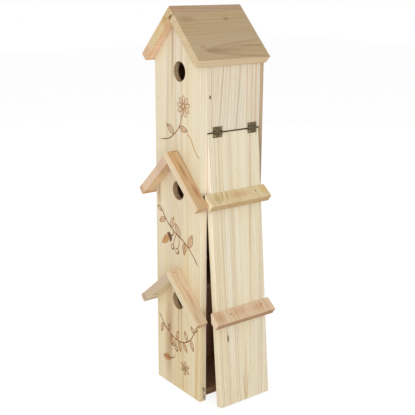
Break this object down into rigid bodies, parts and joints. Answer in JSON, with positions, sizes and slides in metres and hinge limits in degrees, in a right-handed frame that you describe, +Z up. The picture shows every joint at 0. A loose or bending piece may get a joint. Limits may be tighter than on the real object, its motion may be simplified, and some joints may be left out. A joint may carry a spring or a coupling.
{
  "type": "nest box",
  "caption": "Tall gabled timber nest box with stacked chambers, an entrance hole and small roof to each, and a top-hung cleaning door on one side.",
  "frame": {"origin": "middle of the base, on the ground", "axes": "+Z up, the entrance holes face -Y, the cleaning door is on +X"},
  "size_m": [0.1945, 0.147, 0.655],
  "materials": {
    "pale_pine": "planed, bare",
    "inner_pine": "sawn, bare",
    "roof_pine": "planed, bare, darker timber",
    "trim_pine": "planed, bare, reddish timber",
    "ledge_pine": "planed, bare",
    "hinge_brass": "dark antique brass",
    "hook_steel": "zinc plated"
  },
  "bodies": {
    "box": {"front_board": "pale_pine", "back_board": "pale_pine", "left_side_board": "pale_pine", "right_upper_panel": "pale_pine", "bottom_board": "inner_pine", "lower_partition": "inner_pine", "upper_partition": "inner_pine", "roof_left_board": "roof_pine", "roof_right_board": "roof_pine", "lower_small_roof_left": "trim_pine", "lower_small_roof_right": "trim_pine", "upper_small_roof_left": "trim_pine", "upper_small_roof_right": "trim_pine", "left_lower_ledge": "trim_pine", "left_upper_ledge": "trim_pine", "front_hinge_fixed_leaf": "hinge_brass", "front_hinge_pin": "hinge_brass", "rear_hinge_fixed_leaf": "hinge_brass", "rear_hinge_pin": "hinge_brass", "hinge_panel_screws": "hinge_brass"},
    "door": {"door_panel": "pale_pine", "door_lower_ledge": "ledge_pine", "door_upper_ledge": "ledge_pine", "front_hinge_door_leaf": "hinge_brass", "rear_hinge_door_leaf": "hinge_brass", "hinge_door_screws": "hinge_brass"},
    "latch": {"turn_hook": "hook_steel"}
  },
  "joints": [
    {"name": "door_hinge", "type": "hinge", "parent": "box", "child": "door", "pos_m": [0.0653, 0, 0.463], "axis": [0, -1, 0], "range_deg": [-5.2, 144.8]},
    {"name": "latch_turn", "type": "hinge", "parent": "box", "child": "latch", "pos_m": [0.063, -0.0565, 0.025], "axis": [1, 0, 0], "range_deg": [0, 90]}
  ]
}
